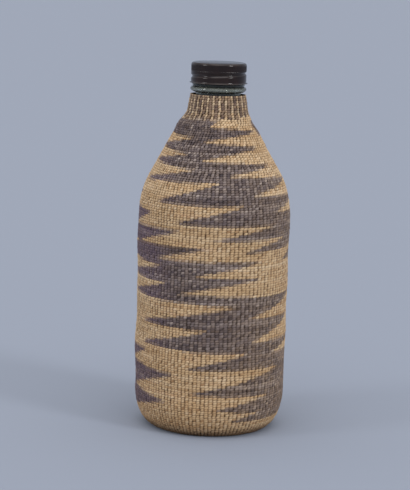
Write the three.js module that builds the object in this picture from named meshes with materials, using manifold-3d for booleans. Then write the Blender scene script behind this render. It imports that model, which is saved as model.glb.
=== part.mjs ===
// A glass screw-top bottle in a close-fitting twined basket cover.
// Millimetres, +Z up. The origin is the centre of the base, on the ground, and -Y is the front.
import * as THREE from "three";
import { mergeVertices } from "three/addons/utils/BufferGeometryUtils.js";
import { TessellateModifier } from "three/addons/modifiers/TessellateModifier.js";
import Module from "manifold-3d";

// Facets round every turned piece, and one degree in radians
const segments = 32;
const degree = Math.PI / 180;

// Basket cover, outside sizes
const baseRadius = 28;
const bodyRadius = 39.2;
const heelHeight = 20;
const wallHeight = 92.5;
const bellyRise = 0.5;
const bellyHeight = 42;
const shoulderArc = 47.4;
const shoulderLean = 28.5 * degree;
const shoulderTopRadius = 20.2;
const throatHeight = 7;
const neckFootRadius = 15.7;
const neckHeight = 9.3;
const rimRadius = 14.1;
const rimCourse = 1.6;

// Basket strands and the play between layers. The weave stands up in fine upright ribs.
const weftThickness = 1.2;
const darkWeftThickness = 0.3;
const warpThickness = 0.6;
const warpWidth = 1.3;
const warpCount = 16;
const warpStartRadius = 9;
const layerGap = 0.3;
const seamGap = 0.3;
const ribCount = 84;
const ribDepth = 0.8;

// Glass bottle
const glassWall = 3;
const pushUp = 3;
const bareNeck = 1.1;
const beadRadius = 14.7;
const beadHeight = 3.4;
const finishHeight = 9.5;
const lipRound = 0.8;

// Screw thread, shared by the glass and the rolled metal cap. Its runs are angles from the front, and
// threadPlay is how far the ridge in the cap sits under the ridge of the glass.
const threadRootRadius = 12.6;
const threadPitch = 4.23;
const threadDepth = 1;
const threadWidth = 2.4;
const threadPlay = 1.25;
const threadRowStep = 0.8;
const threadFade = 40 * degree;
const capThreadFrom = -210 * degree;
const capThreadTo = 165 * degree;
const glassThreadFrom = -370 * degree;
const glassThreadTo = 45 * degree;

// Metal cap and the sealing disc inside it
const capMetal = 0.4;
const capThreadClearance = 0.45;
const capRadius = threadRootRadius + threadDepth + capThreadClearance + capMetal;
const capCorner = 1.3;
const capCrown = 0.4;
const capFlare = 0.7;
const capFlareHeight = 0.8;
const capToBead = 1.3;
const linerThickness = 1.5;
const linerPlay = 1;
const capThreadAboveEdge = 4.4;

// Steps in the round stretches of the outlines
const heelSteps = 4;
const shoulderSteps = 3;
const throatSteps = 2;
const roundSteps = 3;

// How far the cutting block of the flames reaches each way, and its longest straight stretch
const flameReach = 3.5;
const flameFacet = 28;

// The two edges of one spiral band of dark flames, from the top down. Each point is an angle in degrees
// round from the front and a height in percent of the foot of the neck. Points of flames and notches
// between them take turns.
const flameLeft = [
  [-108, 97.9], [-100, 93.4], [-32, 92.8], [-90, 89.4], [-36, 87.9], [-85, 84.8], [-25, 83.4],
  [-80, 78.9], [-1, 80], [-46, 72.9], [20, 73.2], [-27, 66.9], [50, 67.1], [3, 62.2],
  [63, 63], [28, 58.6], [100, 58.2], [71, 55.2], [134, 53.4], [82, 49.2], [139, 48.4], [103, 43.9],
  [196, 41.9], [122, 35.4], [174, 34.5], [124, 28.5], [206, 27.3], [168, 22.4], [239, 22.1],
  [171, 14.3], [227, 13.7], [190, 9.4], [216, 8.3], [196, 5.5],
];
const flameRight = [
  [5, 97.9], [-8, 96], [60, 94.9], [-16, 91.6], [49, 90.1], [-14, 86.1], [58, 84.8],
  [14, 81.7], [86, 80.6], [35, 76], [95, 74.9], [58, 70.8], [119, 69.5], [98, 64.8],
  [147, 64.5], [111, 59.7], [171, 59.9], [134, 55.5], [214, 55.9], [169, 50.8], [214, 50.8],
  [159, 45.4], [262, 44.4], [215, 38], [257, 37.6], [216, 30.3], [269, 30.9], [237, 26.4],
  [296, 26], [277, 21.2], [326, 19.8], [284, 13.5], [319, 10.8], [280, 6.6], [262, 5.5],
];

const wasm = await Module();
wasm.setup();

const point = (r, z) => new THREE.Vector2(r, z);

// Points of a quarter-round or other arc, as r and z, without its first point.
function arcPoints(centreR, centreZ, radiusR, radiusZ, from, to, steps) {
  return Array.from({ length: steps }, (_, i) => {
    const angle = from + ((to - from) * (i + 1)) / steps;
    return point(centreR + radiusR * Math.cos(angle), centreZ + radiusZ * Math.sin(angle));
  });
}

// The outside of the cover as named stretches, from the centre of the base up to the rim.
function coverStretches() {
  const wallTop = heelHeight + wallHeight;
  const base = [point(0, 0), point(baseRadius, 0)];
  const heel = arcPoints(
    baseRadius, heelHeight, bodyRadius - baseRadius, heelHeight, -Math.PI / 2, 0, heelSteps,
  );
  const wall = [
    point(bodyRadius + bellyRise, bellyHeight),
    point(bodyRadius, 2 * bellyHeight - heelHeight),
    point(bodyRadius, wallTop),
  ];
  const shoulder = arcPoints(
    bodyRadius - shoulderArc, wallTop, shoulderArc, shoulderArc, 0, shoulderLean, shoulderSteps,
  );
  const coneFoot = shoulder.at(-1);
  const coneTop = coneFoot.y + (coneFoot.x - shoulderTopRadius) / Math.tan(shoulderLean);
  shoulder.push(point(shoulderTopRadius, coneTop));
  const neckFoot = coneTop + throatHeight;
  const throat = new THREE.QuadraticBezierCurve(
    point(shoulderTopRadius, coneTop),
    point(neckFootRadius + 0.25 * (shoulderTopRadius - neckFootRadius), coneTop + 0.7 * throatHeight),
    point(neckFootRadius, neckFoot),
  ).getPoints(throatSteps).slice(1);
  const rimTop = neckFoot + neckHeight;
  const rimFootShare = 1 - rimCourse / neckHeight;
  const rimFoot = point(
    neckFootRadius + (rimRadius - neckFootRadius) * rimFootShare, rimTop - rimCourse,
  );
  const neck = [...throat, rimFoot];
  return { base, heel, wall, shoulder, neck, rim: [point(rimRadius, rimTop)] };
}

// The curve moved inwards by a distance, square to itself.
function inset(curve, distance) {
  return curve.map((p, i) => {
    const before = i > 0 ? p.clone().sub(curve[i - 1]).normalize() : null;
    const after = i < curve.length - 1 ? curve[i + 1].clone().sub(p).normalize() : null;
    const a = before ?? after;
    const b = after ?? before;
    const share = distance / (1 + a.dot(b));
    return point(p.x - share * (a.y + b.y), p.y + share * (a.x + b.x));
  }).map((p, i) => (i === 0 ? point(0, p.y) : p));
}

const stretches = coverStretches();
const stretchEnds = {};
const cover = [];
for (const [name, points] of Object.entries(stretches)) {
  const first = Math.max(0, cover.length - 1);
  cover.push(...points);
  stretchEnds[name] = [first, cover.length - 1];
}
const rimTop = cover.at(-1).y;
const neckFoot = rimTop - neckHeight;
const beadFoot = rimTop + bareNeck;
const beadTop = beadFoot + beadHeight;
const lipTop = beadTop + finishHeight;
const capEdge = beadTop + capToBead;
const linerFoot = lipTop + seamGap;
const capCeiling = linerFoot + linerThickness + seamGap;
const capThreadFront = capEdge + capThreadAboveEdge;
const glassThreadFront = capThreadFront + threadPlay;
const coverThickness = weftThickness + warpThickness + 2 * layerGap;
const coverAt = (z) => {
  const i = Math.max(2, cover.findIndex((p) => p.y >= z));
  const [a, b] = [cover[i - 1], cover[i]];
  return a.x + ((b.x - a.x) * (z - a.y)) / (b.y - a.y);
};

// Geometry with merged vertices and no flat triangles.
function tidy(geometry) {
  const bare = new THREE.BufferGeometry().setAttribute("position", geometry.getAttribute("position"));
  if (geometry.index) bare.setIndex(geometry.index);
  const merged = mergeVertices(bare, 1e-4);
  const index = merged.index.array;
  const kept = [];
  for (let i = 0; i < index.length; i += 3) {
    const [a, b, c] = index.slice(i, i + 3);
    if (a !== b && b !== c && c !== a) kept.push(a, b, c);
  }
  return merged.setIndex(kept);
}

// A profile turned round +Z. Its angle is 0 at the front and grows to the right. An optional relief
// gives the radius of a point from its radius, height and angle.
function turned(profile, relief) {
  const geometry = new THREE.LatheGeometry(profile, segments).rotateX(Math.PI / 2);
  if (relief) {
    const position = geometry.getAttribute("position");
    for (let i = 0; i < position.count; i++) {
      const [x, y, z] = [position.getX(i), position.getY(i), position.getZ(i)];
      const radius = Math.hypot(x, y);
      if (radius < 1e-6) continue;
      const share = relief(radius, z, Math.atan2(x, -y)) / radius;
      position.setXY(i, x * share, y * share);
    }
  }
  return tidy(geometry);
}

function solid(geometry) {
  const clean = tidy(geometry);
  return new wasm.Manifold(new wasm.Mesh({
    numProp: 3,
    vertProperties: new Float32Array(clean.getAttribute("position").array),
    triVerts: new Uint32Array(clean.index.array),
  }));
}

function geometryOf(body) {
  const mesh = body.getMesh();
  return new THREE.BufferGeometry()
    .setAttribute("position", new THREE.BufferAttribute(new Float32Array(mesh.vertProperties), 3))
    .setIndex(new THREE.BufferAttribute(new Uint32Array(mesh.triVerts), 1));
}

// Height of the thread ridge at a point, from 0 to 1, for a right-hand thread that passes the front at
// frontZ and runs from one angle to another.
function threadRidge(z, angle, frontZ, from, to) {
  let best = 0;
  for (let turn = -3; turn <= 3; turn++) {
    const a = angle + turn * 2 * Math.PI;
    const off = Math.abs(z - frontZ - (threadPitch * a) / (2 * Math.PI));
    if (a < from || a > to || off > threadWidth / 2) continue;
    const ends = Math.min(1, (a - from) / threadFade, (to - a) / threadFade);
    best = Math.max(best, ends * Math.cos((Math.PI * off) / threadWidth) ** 2);
  }
  return best;
}

// Evenly spaced points up or down a straight side, without its first point.
function rows(r, fromZ, toZ) {
  const count = Math.ceil(Math.abs(toZ - fromZ) / threadRowStep);
  return Array.from({ length: count }, (_, i) => point(r, fromZ + ((toZ - fromZ) * (i + 1)) / count));
}

function glassBottle() {
  const outside = inset(cover, coverThickness);
  const inside = inset(cover, coverThickness + glassWall);
  for (const skin of [outside, inside]) skin[0].y += pushUp;
  const neckRadius = outside.at(-1).x;
  const boreRadius = inside.at(-1).x;
  const beadMiddle = (beadFoot + beadTop) / 2;
  const profile = [
    ...outside,
    point(neckRadius, beadFoot),
    ...arcPoints(neckRadius, beadMiddle, beadRadius - neckRadius, beadHeight / 2,
      -Math.PI / 2, Math.PI / 2, 2 * roundSteps).slice(0, -1),
    point(threadRootRadius, beadTop),
    ...rows(threadRootRadius, beadTop, lipTop - lipRound),
    ...arcPoints(threadRootRadius - lipRound, lipTop - lipRound, lipRound, lipRound,
      0, Math.PI / 2, roundSteps),
    point(boreRadius + lipRound, lipTop),
    ...arcPoints(boreRadius + lipRound, lipTop - lipRound, lipRound, lipRound,
      Math.PI / 2, Math.PI, roundSteps),
    ...inside.reverse(),
  ];
  return turned(profile, (radius, z, angle) => {
    if (z <= beadTop || Math.abs(radius - threadRootRadius) > 1e-3) return radius;
    const ridge = threadRidge(z, angle, glassThreadFront, glassThreadFrom, glassThreadTo);
    return radius + threadDepth * ridge;
  });
}

function capShell() {
  const inner = capRadius - capMetal;
  const sideTop = capCeiling + capMetal - capCorner;
  const flareTop = capEdge + capFlareHeight;
  const flareRadius = capRadius + capFlare;
  const profile = [
    point(0, capCeiling + capCrown),
    point(inner - capCorner, capCeiling),
    ...arcPoints(inner - capCorner, sideTop - capMetal, capCorner, capCorner,
      Math.PI / 2, 0, roundSteps),
    ...rows(inner, sideTop - capMetal, flareTop),
    point(flareRadius - capMetal, capEdge),
    point(flareRadius, capEdge),
    point(flareRadius, capEdge + capMetal),
    point(capRadius, flareTop + capMetal),
    ...rows(capRadius, flareTop + capMetal, sideTop),
    ...arcPoints(capRadius - capCorner, sideTop, capCorner, capCorner, 0, Math.PI / 2, roundSteps),
    point(0, capCeiling + capMetal + capCrown),
  ];
  return turned(profile, (radius, z, angle) => {
    if (radius > capRadius + 1e-3 || radius < inner - 1e-3) return radius;
    const ridge = threadRidge(z, angle, capThreadFront, capThreadFrom, capThreadTo);
    return radius - threadDepth * ridge;
  });
}

function capLiner() {
  const radius = capRadius - capMetal - linerPlay;
  return turned([
    point(0, linerFoot),
    point(radius, linerFoot),
    point(radius, linerFoot + linerThickness),
    point(0, linerFoot + linerThickness),
  ]);
}

// Warps run from the start under the base, round the heel and up to the rim, and cross at the start.
function warpFrame() {
  const outer = inset(cover, weftThickness + layerGap).slice(1);
  const inner = inset(cover, weftThickness + layerGap + warpThickness).slice(1);
  const hub = [point(warpStartRadius / 2, outer[0].y), ...outer];
  const strip = [...hub, ...[point(warpStartRadius / 2, inner[0].y), ...inner].reverse()];
  const warp = new THREE.ExtrudeGeometry(new THREE.Shape(strip), {
    depth: warpWidth, bevelEnabled: false,
  }).translate(0, 0, -warpWidth / 2).rotateX(Math.PI / 2).rotateZ(-Math.PI / 2);
  let frame = solid(turned([
    point(0, outer[0].y),
    point(warpStartRadius, outer[0].y),
    point(warpStartRadius, inner[0].y),
    point(0, inner[0].y),
  ]));
  for (let i = 0; i < warpCount; i++) {
    frame = frame.add(solid(warp.clone().rotateZ((2 * Math.PI * i) / warpCount)));
  }
  return geometryOf(frame);
}

// Two profiles with as many points, the crest and the groove of a rib, turned round +Z by turns.
function ribbed(crest, groove) {
  const geometry = new THREE.LatheGeometry(crest, 2 * ribCount).rotateX(Math.PI / 2);
  const position = geometry.getAttribute("position");
  for (let i = 0; i < position.count; i++) {
    const place = i % crest.length;
    if (Math.floor(i / crest.length) % 2 === 0) continue;
    const share = groove[place].x / crest[place].x;
    position.setXYZ(i, position.getX(i) * share, position.getY(i) * share, groove[place].y);
  }
  return tidy(geometry);
}

// One zone of the weft layer, between two depths, with its ends drawn back by half a seam.
function coverLayer([first, last], outerDepth, innerDepth, seam = 0, hasRibs = false) {
  const draw = (depth) => {
    const part = inset(cover, depth).slice(first, last + 1);
    const shorten = (end, next) => end.clone().lerp(next, seam / 2 / end.distanceTo(next));
    const start = first === 0 ? part[0] : shorten(part[0], part[1]);
    const stop = last === cover.length - 1 ? part.at(-1) : shorten(part.at(-1), part.at(-2));
    return [start, ...part.slice(1, -1), stop];
  };
  const profile = (depth) => {
    const skins = [...draw(depth), ...draw(innerDepth).reverse()];
    return first === 0 ? skins : [...skins, skins[0]];
  };
  return hasRibs
    ? ribbed(profile(outerDepth), profile(outerDepth + ribDepth))
    : turned(profile(outerDepth));
}

// A block with the outline of the flames, bent round the cover and reaching well through the dark layer.
function flameBlock() {
  const outline = [...flameLeft, ...flameRight.toReversed()].map(([angle, percent]) =>
    point(angle * degree * bodyRadius, (percent / 100) * neckFoot));
  const flat = new THREE.ExtrudeGeometry(new THREE.Shape(outline), {
    depth: 2 * flameReach, bevelEnabled: false,
  });
  const fine = new TessellateModifier(flameFacet).modify(flat);
  const position = fine.getAttribute("position");
  for (let i = 0; i < position.count; i++) {
    const angle = position.getX(i) / bodyRadius;
    const z = position.getY(i);
    const radius = coverAt(z) + position.getZ(i) - flameReach;
    position.setXYZ(i, radius * Math.sin(angle), -radius * Math.cos(angle), z);
  }
  return solid(fine);
}

// The dark strands lie over the pale ones, in a layer of their own.
const darkLayer = coverLayer([1, stretchEnds.neck[1]], -layerGap - darkWeftThickness, -layerGap);
const darkBand = geometryOf(flameBlock().intersect(solid(darkLayer)));
const paleWeft = (stretch, hasRibs) =>
  coverLayer(stretchEnds[stretch], 0, weftThickness, seamGap, hasRibs);

const paint = (color, roughness, metalness = 0) =>
  new THREE.MeshStandardMaterial({ color, roughness, metalness });
const glass = paint(0xb9c4bd, 0.08);
const metal = paint(0x2a2321, 0.35, 0.6);
const pulpboard = paint(0xb59f7d, 0.9);
const warpStick = paint(0x8a7150, 0.85);
const paleStrand = paint(0xb9976a, 0.8);
const darkStrand = paint(0x574a4b, 0.8);
const stripedStrand = paint(0x9a7c58, 0.8);

const bottle = new THREE.Group();
function add(name, geometry, material) {
  const mesh = new THREE.Mesh(geometry, material);
  mesh.name = name;
  bottle.add(mesh);
  return mesh;
}

add("glass_bottle", glassBottle(), glass);
add("cap_shell", capShell(), metal);
add("cap_liner", capLiner(), pulpboard);
add("warp_frame", warpFrame(), warpStick);
add("weft_base", paleWeft("base"), paleStrand);
add("weft_heel", paleWeft("heel", true), paleStrand);
add("weft_wall", paleWeft("wall", true), paleStrand);
add("weft_shoulder", paleWeft("shoulder", true), paleStrand);
add("weft_neck", paleWeft("neck"), stripedStrand);
add("weft_rim", paleWeft("rim"), stripedStrand);
add("dark_band_front", darkBand, darkStrand);
add("dark_band_back", darkBand, darkStrand).rotation.z = Math.PI;

export default bottle;
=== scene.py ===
import math
import bpy
import numpy as np
from mathutils import Matrix, Vector


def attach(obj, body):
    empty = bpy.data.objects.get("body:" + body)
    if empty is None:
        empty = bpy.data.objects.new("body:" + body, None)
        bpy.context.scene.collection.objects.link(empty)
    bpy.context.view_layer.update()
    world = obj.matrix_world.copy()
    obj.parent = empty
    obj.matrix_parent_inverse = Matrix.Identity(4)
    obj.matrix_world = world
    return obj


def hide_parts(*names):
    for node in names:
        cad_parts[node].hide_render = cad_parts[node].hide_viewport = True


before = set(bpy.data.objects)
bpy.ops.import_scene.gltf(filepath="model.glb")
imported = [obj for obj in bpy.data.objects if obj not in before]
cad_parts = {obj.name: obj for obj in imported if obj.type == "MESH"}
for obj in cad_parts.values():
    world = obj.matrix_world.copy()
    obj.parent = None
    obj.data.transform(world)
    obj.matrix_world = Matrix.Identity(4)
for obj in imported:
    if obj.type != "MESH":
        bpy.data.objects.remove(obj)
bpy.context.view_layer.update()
mm = 0.001
dice = np.random.default_rng(23)


# one wire of a shader: sums on it add Math nodes
class Wire:
    def __init__(self, look, socket):
        self.look = look
        self.socket = socket

    def sum(self, operation, first, second):
        return self.look.add("ShaderNodeMath", {"operation": operation}, {0: first, 1: second})

    def __add__(self, other):
        return self.sum("ADD", self, other)

    def __radd__(self, other):
        return self.sum("ADD", other, self)

    def __sub__(self, other):
        return self.sum("SUBTRACT", self, other)

    def __rsub__(self, other):
        return self.sum("SUBTRACT", other, self)

    def __mul__(self, other):
        return self.sum("MULTIPLY", self, other)

    def __rmul__(self, other):
        return self.sum("MULTIPLY", other, self)


# a material in the making: add() puts in any node, paint() ends it
class Look:
    def __init__(self, name):
        self.material = bpy.data.materials.new(name)
        self.material.use_nodes = True
        self.tree = self.material.node_tree
        self.tree.nodes.clear()
        self.output = self.tree.nodes.new("ShaderNodeOutputMaterial")

    def add(self, kind, settings=None, inputs=None, out=0):
        node = self.tree.nodes.new(kind)
        for key, value in (settings or {}).items():
            if key == "stops":
                ramp = node.color_ramp
                while len(ramp.elements) < len(value):
                    ramp.elements.new(0.5)
                for element, (place, colour) in zip(ramp.elements, value):
                    element.position = place
                    element.color = (*colour, 1)
            else:
                setattr(node, key, value)
        for key, value in (inputs or {}).items():
            if isinstance(value, Wire):
                self.tree.links.new(value.socket, node.inputs[key])
            else:
                node.inputs[key].default_value = value
        return Wire(self, node.outputs[out])

    # smooth step from toLow, at low, to toHigh, at high
    def within(self, value, low, high, toLow=0.0, toHigh=1.0):
        ends = {"Value": value, "From Min": low, "From Max": high, "To Min": toLow, "To Max": toHigh}
        return self.add("ShaderNodeMapRange", {"interpolation_type": "SMOOTHSTEP"}, ends)

    def blend(self, share, first, second, mode="MIX"):
        node = {"data_type": "RGBA", "blend_type": mode, "clamp_factor": True}
        return self.add("ShaderNodeMix", node, {0: share, 6: first, 7: second}, out=2)

    def colours(self, stops, share):
        return self.add("ShaderNodeValToRGB", {"stops": stops}, {0: share})

    def stretched(self, vector, scale):
        return self.add("ShaderNodeVectorMath", {"operation": "MULTIPLY"}, {0: vector, 1: scale})

    def cloud(self, vector, scale, detail=3.0, rough=0.55):
        return self.add("ShaderNodeTexNoise", None,
                        {"Vector": vector, "Scale": scale, "Detail": detail, "Roughness": rough})

    def bumps(self, strength, distance, height):
        inputs = {"Strength": strength, "Distance": distance, "Height": height}
        return self.add("ShaderNodeBump", None, inputs)

    def place(self):
        return self.add("ShaderNodeTexCoord", out=3)

    def axis(self, vector, number):
        return self.add("ShaderNodeSeparateXYZ", None, {0: vector}, out=number)

    def value(self, name):
        return self.add("ShaderNodeAttribute", {"attribute_name": name}, out=2)

    def paint(self, **sockets):
        inputs = {key.replace("_", " "): value for key, value in sockets.items()}
        shader = self.add("ShaderNodeBsdfPrincipled", None, inputs)
        self.tree.links.new(shader.socket, self.output.inputs["Surface"])
        return self.material


# sRGB numbers from 0 to 255 as the linear colour that a shader takes
def srgb(red, green, blue):
    share = np.array([red, green, blue]) / 255
    linear = np.where(share <= 0.04045, share / 12.92, ((share + 0.055) / 1.055) ** 2.4)
    return tuple(float(part) for part in linear)


# points in millimetres and rows of corner numbers become one mesh that rides on a body
def putPiece(name, points, faceSets, material, body, nodes, values=None, maps=None):
    mesh = bpy.data.meshes.new(name)
    mesh.vertices.add(len(points))
    mesh.vertices.foreach_set("co", (points * mm).astype(np.float32).ravel())
    corners = np.concatenate([faces.ravel() for faces in faceSets]).astype(np.int32)
    sides = np.concatenate([np.full(len(faces), faces.shape[1]) for faces in faceSets])
    mesh.loops.add(len(corners))
    mesh.loops.foreach_set("vertex_index", corners)
    mesh.polygons.add(len(sides))
    mesh.polygons.foreach_set("loop_start", (np.cumsum(sides) - sides).astype(np.int32))
    mesh.polygons.foreach_set("use_smooth", np.ones(len(sides), bool))
    for key, numbers in (values or {}).items():
        mesh.attributes.new(key, "FLOAT", "POINT").data.foreach_set("value", numbers.astype(np.float32))
    if maps is not None:
        layer = mesh.uv_layers.new(name="strand")
        layer.data.foreach_set("uv", maps[corners].astype(np.float32).ravel())
    mesh.update(calc_edges=True)
    mesh.materials.append(material)
    piece = bpy.data.objects.new(name, mesh)
    bpy.context.scene.collection.objects.link(piece)
    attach(piece, body)
    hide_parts(*nodes)
    print("made", name, len(points), "points", len(sides), "faces")
    return piece


# a profile of radius and height carried round the axis; its two ends on the axis become single points
def turnedShape(profile, count, relief=None):
    ring = profile[1:-1]
    angle = np.arange(count) * 2 * np.pi / count
    radius = np.repeat(ring[:, :1], count, 1)
    height = np.repeat(ring[:, 1:], count, 1)
    if relief is not None:
        radius = radius + relief(radius, height, np.broadcast_to(angle, radius.shape))
    points = np.stack([radius * np.sin(angle), -radius * np.cos(angle), height], -1).reshape(-1, 3)
    ends = np.array([[0, 0, profile[0, 1]], [0, 0, profile[-1, 1]]])
    first, second = len(points), len(points) + 1
    row, step = np.meshgrid(np.arange(len(ring) - 1), np.arange(count), indexing="ij")
    following = (step + 1) % count
    quads = np.stack([row * count + step, row * count + following,
                      (row + 1) * count + following, (row + 1) * count + step], -1).reshape(-1, 4)
    step = np.arange(count)
    following = (step + 1) % count
    top = (len(ring) - 1) * count
    fans = np.concatenate([np.stack([np.full(count, first), following, step], -1),
                           np.stack([np.full(count, second), top + step, top + following], -1)])
    return np.concatenate([points, ends]), [quads, fans]


# a straight stretch of an outline, as radius and height
def run(start, end, count):
    return np.linspace(start, end, count)


# a stretch of an ellipse: centre plus each radius times the cosine or sine of the angle
def arc(centre, radii, fromDegrees, toDegrees, count):
    angle = np.radians(np.linspace(fromDegrees, toDegrees, count))
    return np.stack([centre[0] + radii[0] * np.cos(angle), centre[1] + radii[1] * np.sin(angle)], -1)


# smooth step from 0 to 1 about a middle
def ramp(value, middle, spread):
    share = np.clip((value - middle) / spread + 0.5, 0, 1)
    return share * share * (3 - 2 * share)


cover = dict(baseRadius=28.0, bodyRadius=39.2, heelHeight=20.0, wallHeight=92.5, bellyRise=0.5,
             bellyHeight=42.0, shoulderArc=47.4, shoulderLean=28.5, shoulderTopRadius=20.2, throatHeight=7.0,
             throatIn=0.25, throatUp=0.7, neckFootRadius=15.7, neckHeight=9.3, rimRadius=14.1, spacing=0.1,
             softSteps=15)
wallTop = cover["heelHeight"] + cover["wallHeight"]
lean = math.radians(cover["shoulderLean"])
coneFoot = np.array([cover["bodyRadius"] - cover["shoulderArc"] * (1 - math.cos(lean)),
                     wallTop + cover["shoulderArc"] * math.sin(lean)])
coneTop = coneFoot[1] + (coneFoot[0] - cover["shoulderTopRadius"]) / math.tan(lean)
neckFoot = coneTop + cover["throatHeight"]
rimTop = neckFoot + cover["neckHeight"]


# outline of the cover from the base centre to the rim: flat base, quarter-ellipse heel, wall with a low
# belly, arc of the shoulder, cone, curved throat and leaning neck, evenly spaced along its length; then its
# outward direction, evened out over some steps to each side
def coverOutline():
    base, body, arcRadius = cover["baseRadius"], cover["bodyRadius"], cover["shoulderArc"]
    share = np.linspace(0, 1, 40)[:, None]
    throatStart = np.array([cover["shoulderTopRadius"], coneTop])
    throatEnd = np.array([cover["neckFootRadius"], neckFoot])
    throatTurn = np.array([throatEnd[0] + cover["throatIn"] * (throatStart[0] - throatEnd[0]),
                           coneTop + cover["throatUp"] * cover["throatHeight"]])
    throat = (1 - share) ** 2 * throatStart + 2 * share * (1 - share) * throatTurn + share ** 2 * throatEnd
    line = np.concatenate([
        run((0, 0), (base, 0), 50),
        arc((base, cover["heelHeight"]), (body - base, cover["heelHeight"]), -90, 0, 80)[1:],
        run((body, cover["heelHeight"]), (body, wallTop), 100)[1:],
        arc((body - arcRadius, wallTop), (arcRadius, arcRadius), 0, cover["shoulderLean"], 60)[1:],
        run(coneFoot, throatStart, 60)[1:],
        throat[1:],
        run(throatEnd, (cover["rimRadius"], rimTop), 40)[1:],
    ])
    bellyReach = cover["bellyHeight"] - cover["heelHeight"]
    offBelly = np.clip((line[:, 1] - cover["bellyHeight"]) / bellyReach, -1, 1)
    line[:, 0] += cover["bellyRise"] * (1 - offBelly ** 2) ** 2
    length = np.concatenate([[0], np.cumsum(np.hypot(*np.diff(line, axis=0).T))])
    even = np.arange(0, length[-1], cover["spacing"])
    radius = np.interp(even, length, line[:, 0])
    height = np.interp(even, length, line[:, 1])
    along = np.gradient(np.stack([radius, height], -1), axis=0)
    steps = cover["softSteps"]
    soft = np.ones(2 * steps + 1) / (2 * steps + 1)
    padded = np.pad(along, ((steps, steps), (0, 0)), mode="edge")
    along = np.stack([np.convolve(padded[:, i], soft, "valid") for i in (0, 1)], -1)
    along /= np.linalg.norm(along, axis=1, keepdims=True)
    return even, radius, height, along[:, 1], -along[:, 0]


lengthAt, radiusAt, heightAt, outR, outZ = coverOutline()

# wide and narrow waves: size, times round, turn for each millimetre of height, and start; level waves: size,
# turn for each millimetre, and how far they rise and fall round the bottle
unevenness = dict(wide=(0.28, 2, 0.045), narrow=(0.16, 5, -0.11, 1.3), level=(0.14, 0.23, 2), fullRadius=30,
                  foot=6, footFade=20, top=170, topFade=12, collarLean=-0.8, collarAt=161, collarWide=3.2,
                  aboveFloor=0.02)


# a point of the cover: its length along the outline, angle from the front, and how far out of the surface;
# slow waves of a few tenths of a millimetre keep it hand made
def onCover(length, angle, out):
    length = np.clip(length, 0, lengthAt[-1])
    radius = np.interp(length, lengthAt, radiusAt) + out * np.interp(length, lengthAt, outR)
    height = np.interp(length, lengthAt, heightAt) + out * np.interp(length, lengthAt, outZ)
    wide, narrow, level = unevenness["wide"], unevenness["narrow"], unevenness["level"]
    inWall = np.clip((height - unevenness["foot"]) / unevenness["footFade"], 0, 1)
    inWall = inWall * np.clip((unevenness["top"] - height) / unevenness["topFade"], 0, 1)
    wave = wide[0] * np.sin(wide[1] * angle + wide[2] * height)
    wave = wave + narrow[0] * np.sin(narrow[1] * angle + narrow[2] * height + narrow[3])
    wave = wave + level[0] * np.sin(level[1] * height + level[2] * np.sin(angle))
    nearCollar = np.exp(-((height - unevenness["collarAt"]) / unevenness["collarWide"]) ** 2)
    aside = unevenness["collarLean"] * np.sin(angle) * nearCollar
    radius = radius + wave * inWall * np.minimum(1, radius / unevenness["fullRadius"]) + aside
    height = np.maximum(height, unevenness["aboveFloor"])
    return np.stack([radius * np.sin(angle), -radius * np.cos(angle), height], -1)


# edges of one spiral band of flames: degrees round from the front, percent of the height of the neck's foot
flameLeft = [
    (-108, 97.9), (-100, 93.4), (-32, 92.8), (-90, 89.4), (-36, 87.9), (-85, 84.8), (-25, 83.4),
    (-80, 78.9), (-1, 80), (-46, 72.9), (20, 73.2), (-27, 66.9), (50, 67.1), (3, 62.2),
    (63, 63), (28, 58.6), (100, 60.0), (71, 55.6), (134, 53.4), (82, 49.2), (139, 48.4), (103, 43.9),
    (196, 41.9), (122, 35.4), (174, 34.5), (124, 28.5), (206, 27.3), (168, 22.4), (239, 22.1),
    (171, 14.3), (227, 13.7), (190, 9.4), (216, 8.3), (196, 5.5)]
flameRight = [
    (5, 97.9), (-8, 96), (60, 94.9), (-16, 91.6), (49, 90.1), (-14, 86.1), (58, 84.8),
    (14, 81.7), (86, 80.6), (35, 76), (95, 74.9), (58, 70.8), (119, 69.5), (98, 64.8),
    (147, 64.5), (111, 59.7), (171, 59.9), (134, 55.5), (214, 55.9), (169, 50.8), (214, 50.8),
    (159, 45.4), (262, 44.4), (215, 38), (257, 37.6), (216, 30.3), (269, 30.9), (237, 26.4),
    (296, 26), (277, 21.2), (326, 19.8), (284, 13.5), (319, 10.8), (280, 6.6), (262, 5.5)]
flames = dict(turned=(0, 180), tipReach=7, leastShare=0.5, edgeMiddle=0.43, edgeSpread=0.65, paler=0.12,
              wornPaler=0.2, wornAside=40, wornBelow=0.2, wornHeight=70, wornMiddle=20, wornSpread=50)


# true where a place lies in the band, counted by how many edges of its outline a level line crosses; tips
# and notches reach some degrees further, as a tip thinner than a row would be lost
def inFlames(angle, height, turned):
    left, right = np.array(flameLeft, float), np.array(flameRight, float)
    for line in (left, right):
        line[1:-1, 0] += flames["tipReach"] * np.sign(line[1:-1, 0] - (line[:-2, 0] + line[2:, 0]) / 2)
    edge = np.concatenate([left, right[::-1]])
    nextEdge = np.roll(edge, -1, axis=0)
    level = 100 * height / neckFoot
    base = (np.degrees(angle) - turned + 180) % 360 - 180
    found = np.zeros(angle.shape, bool)
    for lap in (-360, 0, 360):
        place = base + lap
        odd = np.zeros(angle.shape, bool)
        for (a, za), (b, zb) in zip(edge, nextEdge):
            if za != zb:
                crosses = (za > level) != (zb > level)
                odd ^= crosses & (place < a + (level - za) * (b - a) / (zb - za))
        found |= odd
    return found


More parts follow.
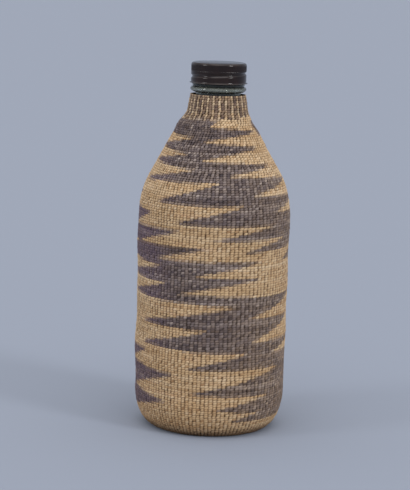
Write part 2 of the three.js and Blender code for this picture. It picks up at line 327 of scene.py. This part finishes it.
# takenIn: every so many columns, which of them, at what length and over how much; dropped: which of eight
# columns, at what height and over how much
weave = dict(rowPitch=1.26, columns=112, firstRow=1.0, rimSpare=0.3, rimGap=0.5, leastWidth=0.16,
             frontWidth=-0.03, sideWidth=0.1, takenIn=((2, 1, 21, 3), (4, 2, 11.5, 2), (8, 4, 5.5, 1.5)),
             dropped=((7, 138, 8), (3, 149, 7), (5, 157, 5), (1, 162.5, 3)), dropStray=0.4, strandRun=30,
             overlap=1.36, crest=0.06, dive=0.62, curve=2.4, halfThick=0.42, halfHigh=0.68, slant=0.24,
             taper=0.38, sizeStray=0.05, riseStray=0.05, sideStray=0.09, paintedShade=(0.1, 2.1), mapAlong=1.2,
             mapAcross=0.6, mapSpread=60)


# rows of twining up the outline, and in each row the columns between its warps, closer on the left than on
# the right: warps are taken in under the base in three steps, and half of them are dropped in four steps from
# the shoulder to the neck
def laySpots():
    count, firstRow, rimGap = weave["columns"], weave["firstRow"], weave["rimGap"]
    rowCount = int((lengthAt[-1] - firstRow - weave["rimSpare"]) / weave["rowPitch"]) + 1
    pitch = (lengthAt[-1] - rimGap - firstRow) / (rowCount - 1)
    length = firstRow + pitch * np.arange(rowCount)[:, None]
    height = np.interp(length, lengthAt, heightAt)
    column = np.arange(count)[None, :]
    shift = dice.uniform(-1, 1, count)[None, :]
    nominal = (column + 0.5) / count * 2 * np.pi + np.pi
    even = 1 + weave["frontWidth"] * np.cos(nominal) + weave["sideWidth"] * np.sin(2 * nominal)
    width = np.repeat(even, rowCount, 0)
    for every, which, middle, spread in weave["takenIn"]:
        width *= np.where(column % every == which, ramp(length, middle + shift, spread), 1)
    for which, middle, spread in weave["dropped"]:
        gone = ramp(height, middle + weave["dropStray"] * spread * shift, spread)
        width *= np.where(column % 8 == which, 1 - gone, 1)
    side = np.cumsum(width, 1)
    angle = (side - width / 2) / side[:, -1:] * 2 * np.pi + np.pi
    half = width / side[:, -1:] * np.pi
    return length, pitch, angle, half, width > weave["leastWidth"]


# rows: slow drift up and down, and how loose single stitches are, more so at the heel; tones: shade of a
# strand, and how far single stitches stray from it
rows = dict(drift=(0.18, 2.2), ripple=(0.16, 3, 0.09), driftFrom=36, driftOver=12, driftStop=7, driftFade=10,
            loose=0.035, heelLoose=0.09, heelTop=12, heelFade=20, offBase=0.1)
tones = dict(strand=0.5, strandSpread=0.15, least=0.22, most=0.7, stitch=0.09)
collar = dict(foot=163.2, footLean=1.4, footTurn=0.3, lightEvery=4, darkBrown=(0.6, 1.0),
              lightBrown=(0.05, 0.6), lightTone=(0.5, 1.05), lightWidth=0.8, stray=0.16)

rowLength, rowPitch, spotAngle, spotHalf, spotUsed = laySpots()
rowIndex, columnIndex = np.nonzero(spotUsed)
stitch = dict(length=rowLength[rowIndex, 0], half=spotHalf[rowIndex, columnIndex])
stitch["angle"] = (spotAngle[rowIndex, columnIndex] + np.pi) % (2 * np.pi) - np.pi
stitchCount = len(rowIndex)
rowHeight = np.interp(stitch["length"], lengthAt, heightAt)
drift = rows["drift"][0] * np.sin(stitch["angle"] + rows["drift"][1])
drift = drift + rows["ripple"][0] * np.sin(rows["ripple"][1] * stitch["angle"] + rowIndex * rows["ripple"][2])
inBody = ramp(stitch["length"], rows["driftFrom"], rows["driftOver"])
inBody = inBody * (1 - ramp(stitch["length"], lengthAt[-1] - rows["driftStop"], rows["driftFade"]))
inHeel = (1 - ramp(rowHeight, rows["heelTop"], rows["heelFade"])) * (rowHeight > rows["offBase"])
loose = rows["loose"] + rows["heelLoose"] * inHeel
stitch["length"] = stitch["length"] + drift * inBody + dice.normal(0, 1, stitchCount) * loose

# tone follows a strand for some dozens of stitches
runner = rowIndex * weave["columns"] + columnIndex
strand = runner // (2 * weave["strandRun"]) * 2 + columnIndex % 2
strandTone = dice.normal(tones["strand"], tones["strandSpread"], strand.max() + 1)
strandTone = np.clip(strandTone, tones["least"], tones["most"])
stitch["tone"] = np.clip(strandTone[strand] + dice.normal(0, tones["stitch"], stitchCount), 0, 1)

# how much of each stitch lies in each band of flames, from seven places on it
stitchPlaces = ((-0.7, -0.6), (0.7, -0.6), (0.0, 0.0), (-0.7, 0.6), (0.7, 0.6), (0.0, -0.9), (0.0, 0.9))
rowTop = np.interp(stitch["length"] + rowPitch / 2, lengthAt, heightAt) - rowHeight
bandShare = [0.0, 0.0]
for band, turned in enumerate(flames["turned"]):
    for aside, upwards in stitchPlaces:
        found = inFlames(stitch["angle"] + aside * stitch["half"], rowHeight + upwards * rowTop, turned)
        bandShare[band] = bandShare[band] + found / len(stitchPlaces)
frontFlame = bandShare[0] >= flames["leastShare"]
backFlame = (bandShare[1] >= flames["leastShare"]) & ~frontFlame
paleStitch = ~frontFlame & ~backFlame

# dye is near 1 for the dark strands of the flames and less where they are worn; brown is for the stripes of
# the neck, where the columns that reach the rim take turns
bandEdge = ramp(np.maximum(bandShare[0], bandShare[1]), flames["edgeMiddle"], flames["edgeSpread"])
below = flames["wornBelow"] * (flames["wornHeight"] - rowHeight)
exposed = flames["wornAside"] * np.sin(stitch["angle"]) + below
wear = ramp(exposed, flames["wornMiddle"], flames["wornSpread"])
paler = dice.uniform(0, flames["paler"], stitchCount)
wornPaler = dice.uniform(0, flames["wornPaler"], stitchCount)
stitch["dye"] = bandEdge * (1 - paler - wear * wornPaler)
collarFoot = collar["foot"] + collar["footLean"] * np.sin(stitch["angle"] + collar["footTurn"])
inCollar = (rowHeight > collarFoot) & paleStitch
inStripe = inCollar & (columnIndex % collar["lightEvery"] != 0)
inLight = inCollar & ~inStripe
stitch["brown"] = np.where(inStripe, dice.uniform(*collar["darkBrown"], stitchCount), 0.0)
stitch["tone"] = np.where(inLight, dice.uniform(*collar["lightTone"], stitchCount), stitch["tone"])
stitch["brown"] = np.where(inLight, dice.uniform(*collar["lightBrown"], stitchCount), stitch["brown"])
stitch["half"] = np.where(inLight, collar["lightWidth"], 1.0) * stitch["half"]
astray = np.where(inCollar, dice.normal(0, collar["stray"], stitchCount), 0)
stitch["angle"] = stitch["angle"] + astray * stitch["half"]
print("laid", stitchCount, "stitches in", len(rowLength), "rows")


# one stitch is a strand of four sides over five stations, high over its warp and diving between warps at
# both ends, leaning a little; its ends are closed, and painted shade with some dirt darkens them and its
# underside
def stitchShapes(chosen):
    count = len(chosen)
    along = np.array([-1, -0.55, 0, 0.55, 1])[None, :, None]
    across = np.array([1, 0.55, -0.55, -1])[None, None, :]
    up = np.array([-0.4, 0.8, 0.8, -0.4])[None, None, :]
    picked = {key: stitch[key][chosen][:, None, None] for key in stitch}
    full = 1 - weave["taper"] * along ** 4
    size = 1 + dice.normal(0, weave["sizeStray"], (count, 1, 1))
    rise = weave["crest"] + dice.normal(0, weave["riseStray"], (count, 1, 1))
    shift = dice.normal(0, weave["sideStray"], (count, 1, 1))
    toEnd = np.abs(along) ** weave["curve"]
    angle = picked["angle"] + (along * weave["overlap"] + shift) * picked["half"] + 0 * across
    out = rise - weave["dive"] * toEnd + weave["halfThick"] * full * size * up
    high = weave["halfHigh"] * rowPitch * full * size
    length = picked["length"] + weave["slant"] * along * rowPitch + high * across
    points = onCover(length, angle, out).reshape(-1, 3)
    # painted shade with some dirt: darker towards both ends of each stitch, where it dives between warps, and
    # on its underside
    endShade = dice.uniform(*weave["paintedShade"], (2, count, 1, 1))
    grime = np.where(along < 0, endShade[0], endShade[1]) * toEnd + 1.0 * (up < 0) + 0 * angle
    stations, sides = along.size, across.size
    start = np.arange(count)[:, None, None] * stations * sides
    here = start + np.arange(stations - 1)[None, :, None] * sides
    side = np.arange(sides)[None, None, :]
    nextSide = (side + 1) % sides
    quads = np.stack([here + side, here + nextSide, here + sides + nextSide, here + sides + side], -1)
    quads = quads.reshape(-1, 4)
    end = np.arange(sides)[None, :] + start[:, :, 0]
    ends = np.concatenate([end[:, ::-1], end + (stations - 1) * sides])
    every = np.ones((1, stations, sides))
    values = {key: (picked[key] * every).ravel() for key in ("tone", "dye", "brown")}
    values["grime"] = grime.ravel()
    offset = dice.uniform(0, weave["mapSpread"], (count, 1, 1))
    maps = np.stack([(weave["mapAlong"] * along + offset) * every,
                     (weave["mapAcross"] * across + offset) * every], -1).reshape(-1, 2)
    return points, [quads, ends], values, maps


# colours of the strands, with a brown for dirt and painted shade, then sizes of the patterns, and places in
# metres where something starts and ends
strandLook = dict(
    pale=[(0.0, srgb(160, 126, 90)), (0.3, srgb(187, 155, 116)),
          (0.6, srgb(201, 172, 135)), (1.0, srgb(215, 192, 160))],
    dark=[(0.0, srgb(58, 47, 48)), (0.35, srgb(87, 75, 77)),
          (0.7, srgb(122, 109, 107)), (1.0, srgb(174, 160, 152))],
    grime=srgb(102, 78, 50), faded=srgb(138, 118, 99), brown=srgb(95, 75, 68), red=srgb(206, 156, 122),
    purple=srgb(104, 84, 103), lowerTint=srgb(226, 210, 188),
    patchScale=45.0, roundScale=(40.0, 40.0, 420.0), fibreScale=(0.7, 7.0, 1.0),
    fadeFrom=-0.008, fadeTo=0.042, fadeShare=0.22, purpleFrom=-0.036, purpleTo=-0.016, purpleShare=0.6,
    redShare=0.22, lowerTintFrom=0.004, lowerTintTo=0.06, lowerTintShare=0.34, footFrom=0.0005, footTo=0.007,
    footShare=0.75, bump=0.35, bumpDepth=0.00012)


# split-root strand: tone along each strand, dark dye that has faded more on the right, dirt and painted shade
# between stitches and near the floor, a darker, more golden tint towards the bottom, fine fibres along the
# strand
def strandMaterial(name):
    look = Look(name)
    own = strandLook
    solid = {key: (*own[key], 1) for key in ("grime", "faded", "brown", "red", "purple", "lowerTint")}
    place = look.place()
    patches = look.cloud(place, own["patchScale"], 4.0)
    rounds = look.cloud(look.stretched(place, own["roundScale"]), 1.0, 3.0)
    uv = look.add("ShaderNodeUVMap", {"uv_map": "strand"})
    fibres = look.cloud(look.stretched(uv, own["fibreScale"]), 1.0, 3.0, 0.6)
    shade = look.value("tone") + (patches - 0.5) * 0.5 + (rounds - 0.5) * 0.6 + (fibres - 0.5) * 0.5
    pale = look.colours(own["pale"], shade)
    pale = look.blend(look.within(rounds, 0.52, 0.75, 0.0, own["redShare"]), pale, solid["red"])
    pale = look.blend(look.value("brown"), pale, solid["brown"])
    dark = look.colours(own["dark"], shade)
    right = look.axis(place, 0)
    high = look.axis(place, 2)
    exposed = right + (patches - 0.5) * 0.03 + (0.08 - high) * 0.15
    fade = look.within(exposed, own["fadeFrom"], own["fadeTo"], 0.0, own["fadeShare"])
    dark = look.blend(fade, dark, solid["faded"])
    purple = look.within(right, own["purpleFrom"], own["purpleTo"], own["purpleShare"], 0.0)
    dark = look.blend(purple, dark, solid["purple"])
    colour = look.blend(look.value("dye"), pale, dark)
    # darker and more golden towards the bottom, in patches
    low = high + (patches - 0.5) * 0.03
    lowerTint = look.within(low, own["lowerTintFrom"], own["lowerTintTo"], own["lowerTintShare"], 0.0)
    colour = look.blend(lowerTint, colour, solid["lowerTint"], "MULTIPLY")
    # painted shade with some dirt between and under the stitches, varied in patches
    dirtAndGapShade = look.value("grime") * look.within(patches, 0.25, 0.75, 0.75, 1.05)
    # painted contact shade with some dirt within a few millimetres of the floor
    foot = look.within(high, own["footFrom"], own["footTo"], own["footShare"], 0.0)
    colour = look.blend(foot, colour, solid["grime"], "MULTIPLY")
    colour = look.blend(dirtAndGapShade, colour, solid["grime"], "MULTIPLY")
    bump = look.bumps(own["bump"], own["bumpDepth"], fibres)
    return look.paint(Base_Color=colour, Roughness=0.5 + fibres * 0.2, Normal=bump, Specular_IOR_Level=0.3)


standing = lengthAt > cover["baseRadius"]
zoneTops = [cover["heelHeight"], wallTop, coneTop]
heelEnd, wallEnd, shoulderEnd = np.interp(zoneTops, heightAt[standing], lengthAt[standing])
lastRow = rowIndex == rowIndex.max()
rowAt = rowLength[rowIndex, 0]
zones = [
    ("weaveBase", "weft_base", paleStitch & (rowAt <= cover["baseRadius"]), "pale_weft"),
    ("weaveHeel", "weft_heel", paleStitch & (rowAt > cover["baseRadius"]) & (rowAt <= heelEnd), "pale_weft"),
    ("weaveWall", "weft_wall", paleStitch & (rowAt > heelEnd) & (rowAt <= wallEnd), "pale_weft"),
    ("weaveShoulder", "weft_shoulder", paleStitch & (rowAt > wallEnd) & (rowAt <= shoulderEnd), "pale_weft"),
    ("weaveNeck", "weft_neck", paleStitch & (rowAt > shoulderEnd) & ~lastRow, "striped_weft"),
    ("weaveRim", "weft_rim", paleStitch & lastRow, "striped_weft"),
    ("flamesFront", "dark_band_front", frontFlame, "dark_weft"),
    ("flamesBack", "dark_band_back", backFlame, "dark_weft"),
]
strandFinish = strandMaterial("twinedStrand")
for name, node, mask, slotName in zones:
    points, faceSets, values, maps = stitchShapes(np.nonzero(mask)[0])
    putPiece(name, points, faceSets, strandFinish, "bottle", [node], values, maps)

warps = dict(depth=1.8, thick=0.5, sides=5, firstRow=6, everyRow=3, leastRows=4, leastRadius=4,
             colours=[(0.2, srgb(92, 68, 42)), (0.8, srgb(150, 118, 78))], grain=(900.0, 900.0, 60.0))


# warps: round shoots behind the stitches, each one following its column up the rows while the column lasts
def warpShapes():
    sides = warps["sides"]
    stations = np.append(np.arange(warps["firstRow"], len(rowLength), warps["everyRow"]), len(rowLength) - 1)
    stations = np.unique(stations)
    turn = np.arange(sides) * 2 * np.pi / sides
    points, quads, caps, total = [], [], [], 0
    for column in range(weave["columns"]):
        used = stations[spotUsed[stations, column]]
        if len(used) < warps["leastRows"]:
            continue
        length = rowLength[used, 0][:, None]
        radius = np.maximum(np.interp(length, lengthAt, radiusAt), warps["leastRadius"])
        angle = spotAngle[used, column][:, None] + warps["thick"] * np.cos(turn)[None, :] / radius
        out = -warps["depth"] + warps["thick"] * np.sin(turn)[None, :]
        points.append(onCover(length, angle, out).reshape(-1, 3))
        row, side = np.meshgrid(np.arange(len(used) - 1), np.arange(sides), indexing="ij")
        here, above = total + row * sides, total + (row + 1) * sides
        nextSide = (side + 1) % sides
        walls = np.stack([here + side, here + nextSide, above + nextSide, above + side], -1)
        quads.append(walls.reshape(-1, 4))
        ends = total + np.arange(sides)
        caps += [ends[::-1], ends + (len(used) - 1) * sides]
        total += len(used) * sides
    return np.concatenate(points), [np.concatenate(quads), np.array(caps)]


# dry peeled shoot: brown grain drawn out upwards
def shootMaterial():
    look = Look("peeledShoot")
    grain = look.cloud(look.stretched(look.place(), warps["grain"]), 1.0, 3.0)
    colour = look.colours(warps["colours"], grain)
    bump = look.bumps(0.3, 0.0001, grain)
    return look.paint(Base_Color=colour, Roughness=0.6 + grain * 0.2, Normal=bump)


points, faceSets = warpShapes()
putPiece("warpShoots", points, faceSets, shootMaterial(), "bottle", ["warp_frame"])

thread = dict(root=12.6, depth=1.0, width=2.4, pitch=4.23, play=1.25, fade=40.0, aboveEdge=4.4,
              capFrom=-210.0, capTo=165.0, glassFrom=-370.0, glassTo=45.0)
finish = dict(bareNeck=1.1, bead=3.4, height=9.5, capToBead=1.3, gap=0.3, linerThick=1.5)
beadFoot = rimTop + finish["bareNeck"]
beadTop = beadFoot + finish["bead"]
lipTop = beadTop + finish["height"]
capEdge = beadTop + finish["capToBead"]
linerFoot = lipTop + finish["gap"]
capCeiling = linerFoot + finish["linerThick"] + finish["gap"]
capThreadFront = capEdge + thread["aboveEdge"]


# ridge of a right-hand thread from 0 to 1: a raised cosine across the helix, let down at its two ends
def threadRidge(height, angle, front, fromDegrees, toDegrees):
    best = np.zeros(np.broadcast(height, angle).shape)
    for lap in range(-3, 4):
        turn = angle + lap * 2 * np.pi
        off = np.abs(height - front - thread["pitch"] * turn / (2 * np.pi))
        ends = np.minimum(np.degrees(turn) - fromDegrees, toDegrees - np.degrees(turn)) / thread["fade"]
        across = np.cos(np.pi * np.minimum(off / thread["width"], 0.5)) ** 2
        best = np.maximum(best, np.clip(ends, 0, 1) * across)
    return best


bottle = dict(wall=3.0, pushUp=3.0, pushRadius=24, pushCurve=0.7, overRim=0.3, beadRadius=14.7, overBead=0.1,
              ledge=13.75, ledgeLean=0.2, rootRise=0.7, lipRound=0.8, coverThickness=2.4, sides=128, every=12,
              tint=(0.64, 0.68, 0.6), paintedShade=(0.05, 0.055, 0.04))


# the cover's outline moved inwards, with the base pushed up in the middle
def bodyProfile(inwards):
    pick = np.arange(0, len(lengthAt), bottle["every"])
    radius = np.maximum(radiusAt[pick] - inwards * outR[pick], 0)
    height = heightAt[pick] - inwards * outZ[pick]
    inMiddle = np.clip(1 - radiusAt[pick] / bottle["pushRadius"], 0, 1)
    line = np.stack([radius, height + bottle["pushUp"] * inMiddle ** bottle["pushCurve"]], -1)
    line[0, 0] = 0
    return line


# the glass from the base outside to the base inside: body, bare neck, round bead, ledge, threaded finish,
# round lip, bore, body
def glassProfile():
    outside = bodyProfile(bottle["coverThickness"])
    inside = bodyProfile(bottle["coverThickness"] + bottle["wall"])
    neck, bore, lip = outside[-1, 0], inside[-1, 0], bottle["lipRound"]
    middle = (beadFoot + beadTop) / 2
    ledge, root = bottle["ledge"], thread["root"]
    return np.concatenate([
        outside,
        run((neck, rimTop + bottle["overRim"]), (neck, beadFoot), 5),
        arc((neck, middle), (bottle["beadRadius"] - neck, (beadTop - beadFoot) / 2), -88, 70, 18),
        run((ledge, beadTop + bottle["overBead"]), (ledge - bottle["ledgeLean"], capEdge), 4),
        run((root, capEdge + bottle["rootRise"]), (root, lipTop - lip), 46),
        arc((root - lip, lipTop - lip), (lip, lip), 10, 90, 8),
        arc((bore + lip, lipTop - lip), (lip, lip), 90, 180, 8),
        inside[::-1],
    ])


# the thread stands out of the finish by its depth times the ridge
def glassThread(radius, height, angle):
    onRoot = (np.abs(radius - thread["root"]) < 1e-6) & (height > beadTop)
    front = capThreadFront + thread["play"]
    ridge = threadRidge(height, angle, front, thread["glassFrom"], thread["glassTo"])
    return onRoot * thread["depth"] * ridge


# clear glass with seeds and dust; painted shade darkens the neck above and below the bead, and less under the
# cap
def glassMaterial():
    look = Look("clearGlass")
    place = look.place()
    seeds = look.cloud(look.stretched(place, (1.0, 1.0, 0.4)), 160.0, 2.0)
    bump = look.bumps(0.06, 0.0004, seeds)
    dust = look.within(look.cloud(place, 300.0, 4.0), 0.5, 0.8, 0.02, 0.1)
    high = look.axis(place, 2) * 1000.0
    uneven = high + (seeds - 0.5) * 1.5
    # painted shade on the neck just above the bead, weaker higher up under the cap, and just below the bead
    overBead = look.within(uneven, beadTop - 1.0, beadTop + 0.1)
    overBead = overBead * look.within(high, capEdge + 0.3, capEdge + 1.6, 1.0, 0.22)
    underBead = look.within(uneven, beadFoot + 0.2, beadFoot + 1.2, 0.8, 0.0)
    colour = look.blend(overBead + underBead, (*bottle["tint"], 1), (*bottle["paintedShade"], 1))
    return look.paint(Base_Color=colour, Roughness=dust, Normal=bump, Transmission_Weight=0.86, IOR=1.5)


points, faceSets = turnedShape(glassProfile(), bottle["sides"], glassThread)
putPiece("glassBottle", points, faceSets, glassMaterial(), "bottle", ["glass_bottle"])

cap = dict(metal=0.4, corner=1.3, crown=0.35, radius=14.45, flare=0.7, waist=1.1, groove=0.65, sides=504,
           ribs=84, ribDepth=0.22, ribsAbove=1.9, ribsBelow=1.0, ribsFade=0.5, brown=srgb(22, 8, 4),
           paleBrown=srgb(34, 18, 11), bare=srgb(112, 104, 100), lipWearAndHighlight=0.8, lipSpread=0.4, cornerWearAndHighlight=0.4,
           cornerSpread=0.6, threadWearAndHighlight=0.45, threadIn=0.35, threadSpread=0.15, threadTop=2)


# the cap's outline inside and out: crowned top with a shallow ring, rolled corner, straight side that carries
# knurl and thread, a slight waist and a thin lip turned out at the edge
def capProfile():
    inner, outer, corner = cap["radius"] - cap["metal"], cap["radius"], cap["corner"]
    top = capCeiling + cap["metal"]
    sideTop = top - corner
    sideFoot = capEdge + cap["waist"]
    lip = outer + cap["flare"]
    rolledLip = np.array([(inner - 0.1, 0.62), (outer - 0.15, 0.12), (lip - 0.15, 0), (lip - 0.03, 0.05),
                          (lip, 0.16), (lip - 0.06, 0.27), (outer + 0.12, 0.5), (outer - 0.12, 0.75)])
    return np.concatenate([
        [(0, capCeiling + cap["crown"])],
        run((inner - corner - 1.2, capCeiling + 0.1), (inner - corner, capCeiling), 3),
        arc((inner - corner, sideTop - cap["metal"]), (corner, corner), 85, 5, 8),
        run((inner, sideTop - cap["metal"]), (inner, sideFoot), 26),
        rolledLip + (0, capEdge),
        run((outer, sideFoot + 0.15), (outer, sideTop), 44),
        arc((outer - corner, sideTop), (corner, corner), 5, 85, 12),
        run((outer - corner - 0.5, top + 0.03), (outer - corner - 1.4, top - 0.12), 4),
        run((outer - corner - 1.9, top - 0.1), (outer - corner - 3.2, top + 0.12), 4),
        run((outer - corner - 5, top + 0.2), (1.5, top + cap["crown"]), 6),
        [(0, top + cap["crown"])],
    ])


# the thread is pressed into the side, shallower outside than in; the knurl is a row of rounded ribs, the
# absolute cosine of the angle, in a band near the top
def capRelief(radius, height, angle):
    inner, outer = cap["radius"] - cap["metal"], cap["radius"]
    onSide = (radius > inner - 1e-6) & (radius < outer + 1e-6) & (height < capCeiling)
    ridge = threadRidge(height, angle, capThreadFront, thread["capFrom"], thread["capTo"])
    outside = np.abs(radius - outer) < 1e-6
    band = ramp(height, capThreadFront + cap["ribsAbove"], cap["ribsFade"])
    band = band * (1 - ramp(height, capCeiling - cap["ribsBelow"], cap["ribsFade"]))
    knurl = outside * band * cap["ribDepth"] * (np.abs(np.cos(angle * cap["ribs"] / 2)) - 1)
    return knurl - onSide * np.where(outside, cap["groove"], thread["depth"]) * ridge


# dark lacquer with smudges and specks, worn to bare metal on the lip, the corner and the thread, where the
# pale worn lines also serve as painted highlights
def capMaterial():
    look = Look("lacqueredCap")
    place = look.place()
    smudge = look.cloud(place, 140.0, 5.0, 0.65)
    specks = look.cloud(place, 900.0, 2.0)
    brown = look.blend(look.within(smudge, 0.35, 0.7), (*cap["brown"], 1), (*cap["paleBrown"], 1))
    scuffs = look.within(specks + (smudge - 0.5), 0.74, 0.86, 0.0, 0.3)
    # pale worn lines along the edges, partly wear and partly painted highlight, plus random scuffs
    wornAndHighlight = look.value("edge") * look.within(smudge, 0.3, 0.7, 0.35, 0.8) + scuffs
    colour = look.blend(wornAndHighlight, brown, (*cap["bare"], 1))
    rough = 0.07 + smudge * 0.14 + wornAndHighlight * 0.1
    bump = look.bumps(0.1, 0.0002, smudge)
    return look.paint(Base_Color=colour, Roughness=rough, Normal=bump, Metallic=wornAndHighlight * 0.8,
                      Specular_IOR_Level=0.42)


points, faceSets = turnedShape(capProfile(), cap["sides"], capRelief)
fromAxis, high = np.hypot(points[:, 0], points[:, 1]), points[:, 2]
# strengths of the worn lines on the lip, the corner and the thread, which also serve as painted highlights
lipWearAndHighlight = np.exp(-((high - capEdge) / cap["lipSpread"]) ** 2)
cornerWearAndHighlight = np.exp(-((high - capCeiling) / cap["cornerSpread"]) ** 2)
cornerWearAndHighlight = cornerWearAndHighlight * (fromAxis > cap["radius"] - cap["corner"])
threadWearAndHighlight = np.exp(-((cap["radius"] - cap["threadIn"] - fromAxis) / cap["threadSpread"]) ** 2)
threadWearAndHighlight = threadWearAndHighlight * (high < capThreadFront + cap["threadTop"])
edge = cap["lipWearAndHighlight"] * lipWearAndHighlight + cap["cornerWearAndHighlight"] * cornerWearAndHighlight + cap["threadWearAndHighlight"] * threadWearAndHighlight
edgeWearAndHighlight = {"edge": np.clip(edge, 0, 1)}
putPiece("screwCap", points, faceSets, capMaterial(), "cap", ["cap_shell"], edgeWearAndHighlight)

liner = dict(radius=13.05, edge=0.25, press=0.18, pressRadius=10.9, pressWide=0.9, sides=96,
             colours=[(0.25, srgb(150, 124, 88)), (0.75, srgb(196, 172, 134))])


# a flat board disc with a soft edge and the ring that the bottle's lip has pressed into its underside
def linerProfile():
    low, high = linerFoot, linerFoot + finish["linerThick"]
    edge, radius = liner["edge"], liner["radius"]
    across = np.linspace(0, radius - edge, 40)
    pressed = liner["press"] * np.exp(-((across - liner["pressRadius"]) / liner["pressWide"]) ** 2)
    return np.concatenate([
        np.stack([across, low + pressed], -1),
        arc((radius - edge, low + edge), (edge, edge), -80, 0, 5),
        arc((radius - edge, high - edge), (edge, edge), 0, 80, 5),
        run((radius - edge, high), (0, high), 12),
    ])


# plain pulpboard: fine specks and soft stains
def boardMaterial():
    look = Look("pulpBoard")
    place = look.place()
    pulp = look.cloud(place, 1500.0, 4.0, 0.7)
    stain = look.cloud(place, 90.0, 3.0)
    colour = look.colours(liner["colours"], pulp * 0.5 + stain * 0.5)
    bump = look.bumps(0.4, 0.0002, pulp)
    return look.paint(Base_Color=colour, Roughness=0.85 + pulp * 0.1, Normal=bump)


points, faceSets = turnedShape(linerProfile(), liner["sides"])
putPiece("sealDisc", points, faceSets, boardMaterial(), "seal", ["cap_liner"])

studio = dict(floor=srgb(145, 152, 167), backdrop=srgb(158, 167, 183), fill=0.76, reach=40.0,
              right=(53.0, 24.0, 14.0, 1.0), top=(0.0, 60.0, 56.0, 0.8), back=(180.0, 72.0, 60.0, 0.18),
              left=(-64.0, 24.0, 18.0, 0.62))


# a plain level floor, wide enough to be all that the camera sees behind the bottle
def floor():
    reach = studio["reach"]
    corners = [(-reach, -reach, 0), (reach, -reach, 0), (reach, reach, 0), (-reach, reach, 0)]
    mesh = bpy.data.meshes.new("floor")
    mesh.from_pydata(corners, [], [(0, 1, 2, 3)])
    paper = Look("palePaper")
    grey = (*studio["floor"], 1)
    mesh.materials.append(paper.paint(Base_Color=grey, Roughness=0.95, Specular_IOR_Level=0.05))
    ground = bpy.data.objects.new("floor", mesh)
    bpy.context.scene.collection.objects.link(ground)


# a wide far light, from degrees round from the front, degrees up, its breadth in degrees, and its strength
def softLight(name, around, up, breadth, strength):
    lamp = bpy.data.lights.new(name, "SUN")
    lamp.angle = math.radians(breadth)
    lamp.energy = strength
    light = bpy.data.objects.new(name, lamp)
    around, up = math.radians(around), math.radians(up)
    towards = Vector((math.cos(up) * math.sin(around), -math.cos(up) * math.cos(around), math.sin(up)))
    light.rotation_euler = towards.to_track_quat("Z", "Y").to_euler()
    light.location = towards * 2
    bpy.context.scene.collection.objects.link(light)


# white light from all round; camera, mirror and glass see the plain backdrop colour instead
def surroundings():
    world = bpy.data.worlds.new("surroundings")
    world.use_nodes = True
    tree = world.node_tree
    light = tree.nodes["Background"]
    light.inputs["Color"].default_value = (1, 1, 1, 1)
    light.inputs["Strength"].default_value = studio["fill"]
    seen = tree.nodes.new("ShaderNodeBackground")
    seen.inputs["Color"].default_value = (*studio["backdrop"], 1)
    path = tree.nodes.new("ShaderNodeLightPath")
    either = tree.nodes.new("ShaderNodeMath")
    either.operation = "MAXIMUM"
    anyOf = tree.nodes.new("ShaderNodeMath")
    anyOf.operation = "MAXIMUM"
    mix = tree.nodes.new("ShaderNodeMixShader")
    tree.links.new(path.outputs["Is Camera Ray"], either.inputs[0])
    tree.links.new(path.outputs["Is Glossy Ray"], either.inputs[1])
    tree.links.new(either.outputs[0], anyOf.inputs[0])
    tree.links.new(path.outputs["Is Transmission Ray"], anyOf.inputs[1])
    tree.links.new(anyOf.outputs[0], mix.inputs[0])
    tree.links.new(light.outputs[0], mix.inputs[1])
    tree.links.new(seen.outputs[0], mix.inputs[2])
    tree.links.new(mix.outputs[0], tree.nodes["World Output"].inputs["Surface"])
    bpy.context.scene.world = world


floor()
for side in ("left", "right", "top", "back"):
    softLight(side, *studio[side])
surroundings()
bpy.context.scene.view_settings.view_transform = "Standard"
print("floor and lights set")

view = dict(place=(0.0, -0.95, 0.25), aim=(-0.0044, 0.0, 0.0959), roll=1.8, lens=133.85, sensor=36.0)
camera = bpy.data.cameras.new("camera")
camera.lens = view["lens"]
camera.sensor_width = view["sensor"]
cameraObject = bpy.data.objects.new("camera", camera)
facing = (Vector(view["aim"]) - Vector(view["place"])).to_track_quat("-Z", "Y").to_matrix().to_4x4()
roll = Matrix.Rotation(math.radians(view["roll"]), 4, "Z")
cameraObject.matrix_world = Matrix.Translation(view["place"]) @ facing @ roll
bpy.context.scene.collection.objects.link(cameraObject)
bpy.context.scene.camera = cameraObject
print("camera set")
